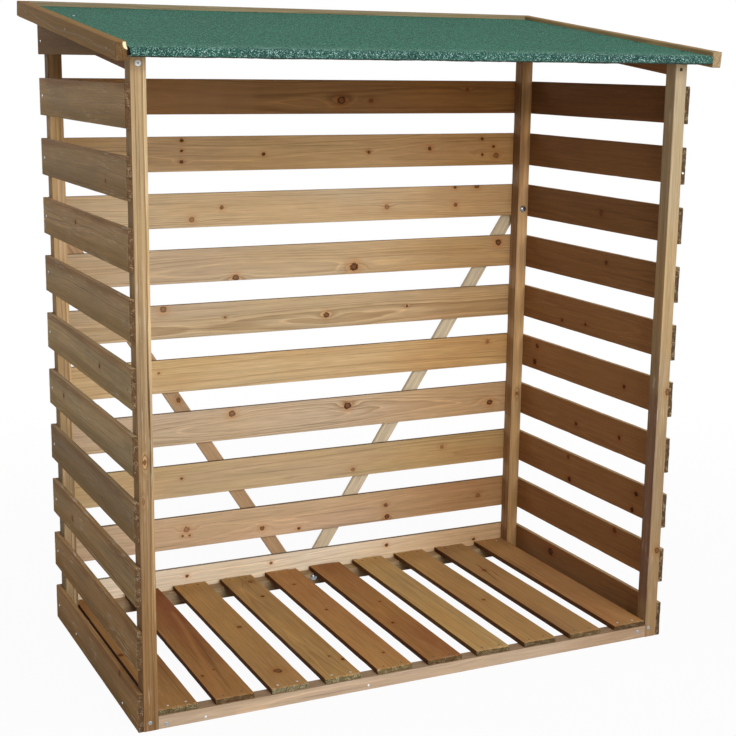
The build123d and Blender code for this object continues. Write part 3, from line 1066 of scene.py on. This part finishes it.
brace_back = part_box("left_back_brace")[1].y
rail_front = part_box("back_floor_rail")[0].y
bolt_high, bolt_low, bolt_middle = 1.047, 0.021, 0.021
heads, nuts, spots = [], [], []
for side in (-1, 1):
    for across, height in ((side * abs(post_middle), bolt_high), (side * bolt_middle, bolt_low)):
        heads.append(((across, rail_front, height), -Y))
        nuts.append(((across, brace_back, height), Y))
    for row in (1, 3, 5, 6):
        height = row * pitch + 45 * MM
        share = (height - bolt_low) / (bolt_high - bolt_low)
        across = bolt_middle + share * (abs(post_middle) - bolt_middle)
        spots.append(((side * across, brace_back, height), Y))
fix("brace_bolts", BOLT, heads, polished, tilt=0)
fix("brace_nuts", NUT, nuts, polished, tilt=0)
fix("brace_nails", NAIL, spots, bright)

# Roof nails are given in metres up the slope from the front end and up from the board's lower edge.
for side, outward in SIDES:
    node = f"{side}_barge_board"
    low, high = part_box(node)
    corner = X * (high.x if outward > 0 else low.x)
    corner += uphill * reach(node, uphill)[0] + off_roof * reach(node, off_roof)[0]
    places = ((0.0085, 0.031), (0.065, 0.017), (0.4, 0.019), (0.79, 0.02))
    spots = [(corner + uphill * along + off_roof * up, X * outward) for along, up in places]
    fix(f"{side}_barge_nails", NAIL, spots, weathered)

felt_low, felt_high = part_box("roof_felt")
felt_start, felt_end = reach("roof_felt", uphill)
felt_top = reach("roof_felt", off_roof)[1]


def on_felt(x, along, proud):
    return X * x + uphill * along + off_roof * (felt_top + proud * MM), off_roof


spots = []
for side in (-1, 1):
    for along in (0.09, 0.27, 0.45, 0.62):
        spots.append(on_felt(side * (felt_high.x - 18 * MM), felt_start + near(along, 20 * MM), 0.8))
for i in range(6):
    spots.append(on_felt(felt_low.x + near(0.14 + 0.22 * i, 20 * MM), felt_end - 18 * MM, 0.6))
fix("felt_nails", CLOUT, spots, dark_steel)
fix("left_felt_nail", CLOUT, [on_felt(felt_low.x + 50 * MM, felt_start + 0.62, 1)], bright)


# ---- stage, light and camera


def seen_directly(s):
    """1 for what the camera, a mirror or glass sees."""
    path = s.node("LightPath").outputs
    return s.most(path["Is Camera Ray"], path["Is Glossy Ray"], path["Is Transmission Ray"])


def stage_floor():
    """A pale floor that reads as white to the camera, with the object's shadow left faintly in it."""
    bpy.ops.mesh.primitive_circle_add(vertices=96, radius=14, fill_type="NGON", location=(0, 0, 0))
    floor = bpy.context.object
    floor.name = "studio_floor"
    made, s = new_material("studio_floor")
    diffuse = s.wire(s.node("BsdfDiffuse"), Color=(0.7, 0.7, 0.7, 1))
    glow = s.wire(s.node("Emission"), Color=(1, 1, 1, 1), Strength=1)
    away = s.vector("LENGTH", s.here())
    share = s.times(seen_directly(s), s.step(away, 0.9, 3.2, 0.95, 1))
    mixed = s.wire(s.node("MixShader"), share, diffuse[0], glow[0])
    s.wire(s.node("OutputMaterial"), Surface=mixed[0])
    floor.data.materials.append(made)


def stage_world(strength):
    """Even light all round. The camera and mirrors see plain white."""
    world, s = emptied(bpy.data.worlds.new("studio"))
    level = s.add(strength, s.times(seen_directly(s), 1 - strength))
    sky = s.wire(s.node("Background"), Color=(1, 1, 1, 1), Strength=level)
    s.wire(s.node("OutputWorld"), Surface=sky[0])
    scene.world = world


def softbox(name, place, target, size, level):
    """A rectangular lamp that lights a facing surface at its target to this share of plain white."""
    lamp = bpy.data.lights.new(name, "AREA")
    lamp.shape = "RECTANGLE"
    lamp.size, lamp.size_y = size
    place, target = Vector(place), Vector(target)
    lamp.energy = level * pi**2 * (target - place).length_squared
    made = stood(name, lamp)
    made.location = place
    made.rotation_euler = (target - place).to_track_quat("-Z", "Y").to_euler()
    made.visible_camera = False


stage_floor()
stage_world(0.25)
middle = Vector((0, 0, 0.75))
softbox("front_softbox", (0.5, -5.2, 2.5), middle, (4.0, 3.0), 0.84)
softbox("back_softbox", (-1.6, 5.0, 2.2), middle, (3.0, 2.4), 0.34)
softbox("top_softbox", (0, -0.8, 5.0), (0, 0, 1.5), (3.0, 3.0), 0.3)

# The camera's place in metres, then how far it is turned from facing +Y, looks down and leans, in radians.
EYE = (-1.5262, -3.2495, 1.4556)
YAW, DOWN, ROLL = 0.4458, 0.2086, 0.0126
camera = bpy.data.cameras.new("camera")
camera.lens, camera.sensor_width = 70.6, 36
seat = stood("camera", camera)
turn = Matrix.Rotation(-YAW, 4, "Z") @ Matrix.Rotation(pi / 2 - DOWN, 4, "X")
seat.matrix_world = Matrix.Translation(EYE) @ turn @ Matrix.Rotation(ROLL, 4, "Z")
scene.camera = seat
scene.view_settings.view_transform = "Standard"
